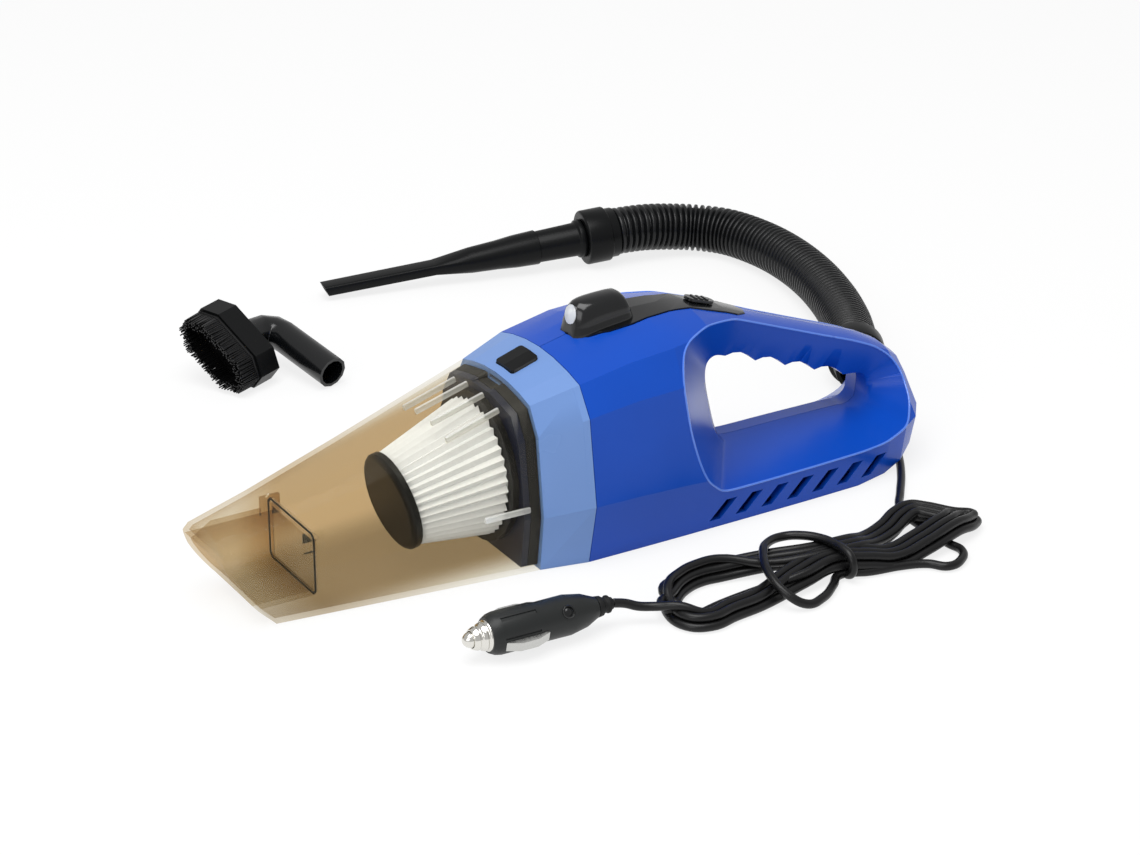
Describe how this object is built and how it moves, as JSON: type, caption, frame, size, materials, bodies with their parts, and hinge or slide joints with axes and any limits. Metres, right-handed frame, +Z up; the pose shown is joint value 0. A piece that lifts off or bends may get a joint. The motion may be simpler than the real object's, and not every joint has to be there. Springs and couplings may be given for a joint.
{
  "type": "handheld vacuum cleaner",
  "caption": "Handheld car vacuum with clear dust cup, pleated filter, looped grip, lamp, corrugated hose with crevice tool, brush tool, and coiled cord with accessory plug.",
  "frame": {"origin": "on the floor plane under the middle of the collar, in the vacuum's split plane", "axes": "+X from the nose to the tail of the vacuum, +Y to the far side where the hose and tools lie, +Z up"},
  "size_m": [0.4346, 0.4208, 0.1056],
  "materials": {
    "housing_blue": "glossy moulded ABS",
    "collar_blue": "glossy moulded ABS",
    "gloss_black": "polished",
    "matt_black": "fine moulded grain",
    "navy_plastic": "satin",
    "black_rubber": "matt",
    "filter_paper": "pleated paper",
    "steel": "drawn sheet and turned steel",
    "brass": "turned",
    "chrome": "bright plated",
    "amber_clear": "clear tinted polycarbonate",
    "clear_plastic": "clear"
  },
  "bodies": {
    "vacuum": {"housing_left": "housing_blue", "housing_right": "housing_blue", "housing_screw_1": "steel", "housing_screw_2": "steel", "housing_screw_3": "steel", "housing_screw_4": "steel", "housing_screw_5": "steel", "housing_screw_6": "steel", "housing_screw_7": "steel", "top_inlay": "gloss_black", "front_collar": "collar_blue", "button_spring": "steel", "cup_seal": "black_rubber", "filter_seat": "navy_plastic", "fan_case": "matt_black", "motor_plate": "steel", "motor_screw_1": "steel", "motor_screw_2": "steel", "motor_can": "steel", "motor_end_bell": "matt_black", "front_bearing": "brass", "rear_bearing": "brass", "lamp_hood": "gloss_black", "lamp_lens": "clear_plastic", "lamp_reflector": "chrome", "lamp_led": "clear_plastic", "power_switch": "matt_black", "strain_relief": "black_rubber", "power_cord": "black_rubber", "cord_hank": "black_rubber", "plug_lead": "black_rubber", "plug_nose": "chrome", "plug_spring": "steel", "plug_body": "matt_black", "plug_lamp": "clear_plastic", "plug_boot": "black_rubber"},
    "dust_cup": {"dust_cup": "amber_clear"},
    "inlet_flap": {"inlet_flap": "clear_plastic"},
    "filter": {"filter_flange": "matt_black", "filter_pleats": "filter_paper", "filter_cap": "matt_black"},
    "release_button": {"release_button": "matt_black"},
    "power_slider": {"power_slider": "gloss_black"},
    "rotor": {"impeller": "steel", "impeller_nut": "brass", "armature": "steel"},
    "plug_tip": {"plug_tip": "steel", "plug_fuse": "clear_plastic"},
    "plug_contact_left": {"plug_contact_left": "steel"},
    "plug_contact_right": {"plug_contact_right": "steel"},
    "hose_set": {"hose_cuff": "matt_black", "hose_adapter": "matt_black", "hose": "matt_black", "hose_rear_cuff": "matt_black"},
    "crevice_tool": {"crevice_tool": "matt_black"},
    "brush_elbow": {"brush_elbow": "matt_black"},
    "brush_head": {"brush_head": "matt_black", "brush_bristles": "black_rubber"}
  },
  "joints": [
    {"name": "cup_pull_off", "type": "slide", "parent": "vacuum", "child": "dust_cup", "axis": [-1, 0, 0], "range_m": [0, 0.15]},
    {"name": "filter_pull_off", "type": "slide", "parent": "vacuum", "child": "filter", "axis": [-1, 0, 0], "range_m": [0, 0.06]},
    {"name": "flap_swing", "type": "hinge", "parent": "dust_cup", "child": "inlet_flap", "pos_m": [-0.1101, 0, 0.0344], "axis": [0, -1, 0], "range_deg": [0, 60]},
    {"name": "button_press", "type": "slide", "parent": "vacuum", "child": "release_button", "axis": [0, 0, -1], "range_m": [0, 0.002], "stiffness_N_per_m": 300, "springref_m": -0.002, "deforming": ["button_spring"]},
    {"name": "slider_travel", "type": "slide", "parent": "vacuum", "child": "power_slider", "axis": [0.9496, 0, -0.3134], "range_m": [0, 0.006]},
    {"name": "rotor_spin", "type": "hinge", "parent": "vacuum", "child": "rotor", "pos_m": [0.031, 0, 0.042], "axis": [1, 0, 0], "continuous": true},
    {"name": "plug_tip_press", "type": "slide", "parent": "vacuum", "child": "plug_tip", "axis": [0.9992, -0.0401, 0], "range_m": [0, 0.0025], "stiffness_N_per_m": 400, "springref_m": -0.002},
    {"name": "contact_left_press", "type": "slide", "parent": "vacuum", "child": "plug_contact_left", "axis": [0.0388, 0.9651, 0.2588], "range_m": [0, 0.001], "stiffness_N_per_m": 600, "springref_m": -0.001},
    {"name": "contact_right_press", "type": "slide", "parent": "vacuum", "child": "plug_contact_right", "axis": [-0.0388, -0.9651, -0.2588], "range_m": [0, 0.001], "stiffness_N_per_m": 600, "springref_m": -0.001},
    {"name": "hose_lift_off", "type": "slide", "parent": "vacuum", "child": "hose_set", "axis": [0, 0, 1], "range_m": [0, 0.12]},
    {"name": "crevice_tool_pull_off", "type": "slide", "parent": "hose_set", "child": "crevice_tool", "axis": [-0.978, 0.1972, -0.068], "range_m": [0, 0.014]},
    {"name": "brush_lift_off", "type": "slide", "parent": "vacuum", "child": "brush_elbow", "axis": [0, 0, 1], "range_m": [0, 0.12]},
    {"name": "brush_head_swivel", "type": "hinge", "parent": "brush_elbow", "child": "brush_head", "pos_m": [-0.0112, 0.2282, 0.018], "axis": [-0.8934, -0.4493, 0], "range_deg": [0, 76]}
  ],
  "couplings": [
    {"joint": "filter_pull_off", "follows": "cup_pull_off", "ratio": 0.4}
  ]
}
